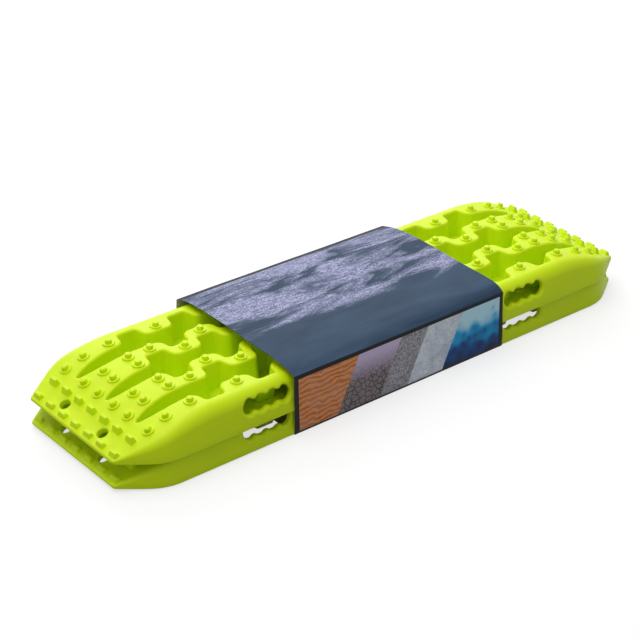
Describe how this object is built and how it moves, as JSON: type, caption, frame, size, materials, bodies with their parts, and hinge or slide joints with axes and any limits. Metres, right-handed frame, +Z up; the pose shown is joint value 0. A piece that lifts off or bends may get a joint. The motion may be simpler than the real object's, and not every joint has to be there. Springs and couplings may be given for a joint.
{
  "type": "vehicle recovery board pair",
  "caption": "Nested pair of moulded traction boards with ramped ends, zigzag channels, grip studs, cleats and side handle slots, held by a card sleeve that slides off.",
  "frame": {"origin": "middle of the pack on the surface it lies on", "axes": "+X along the boards, +Y from the sleeve's front panel to its rear panel, +Z up"},
  "size_m": [1.06, 0.3074, 0.115],
  "materials": {
    "board_plastic": "moulded lime green nylon with a soft satin sheen",
    "printed_card": "printed and coated folding card, pale inside"
  },
  "bodies": {
    "boards": {"lower_board": "board_plastic", "upper_board": "board_plastic"},
    "sleeve": {"card_sleeve": "printed_card"}
  },
  "joints": [
    {"name": "sleeve_slide", "type": "slide", "parent": "boards", "child": "sleeve", "axis": [1, 0, 0], "range_m": [-0.76, 0.76]}
  ]
}
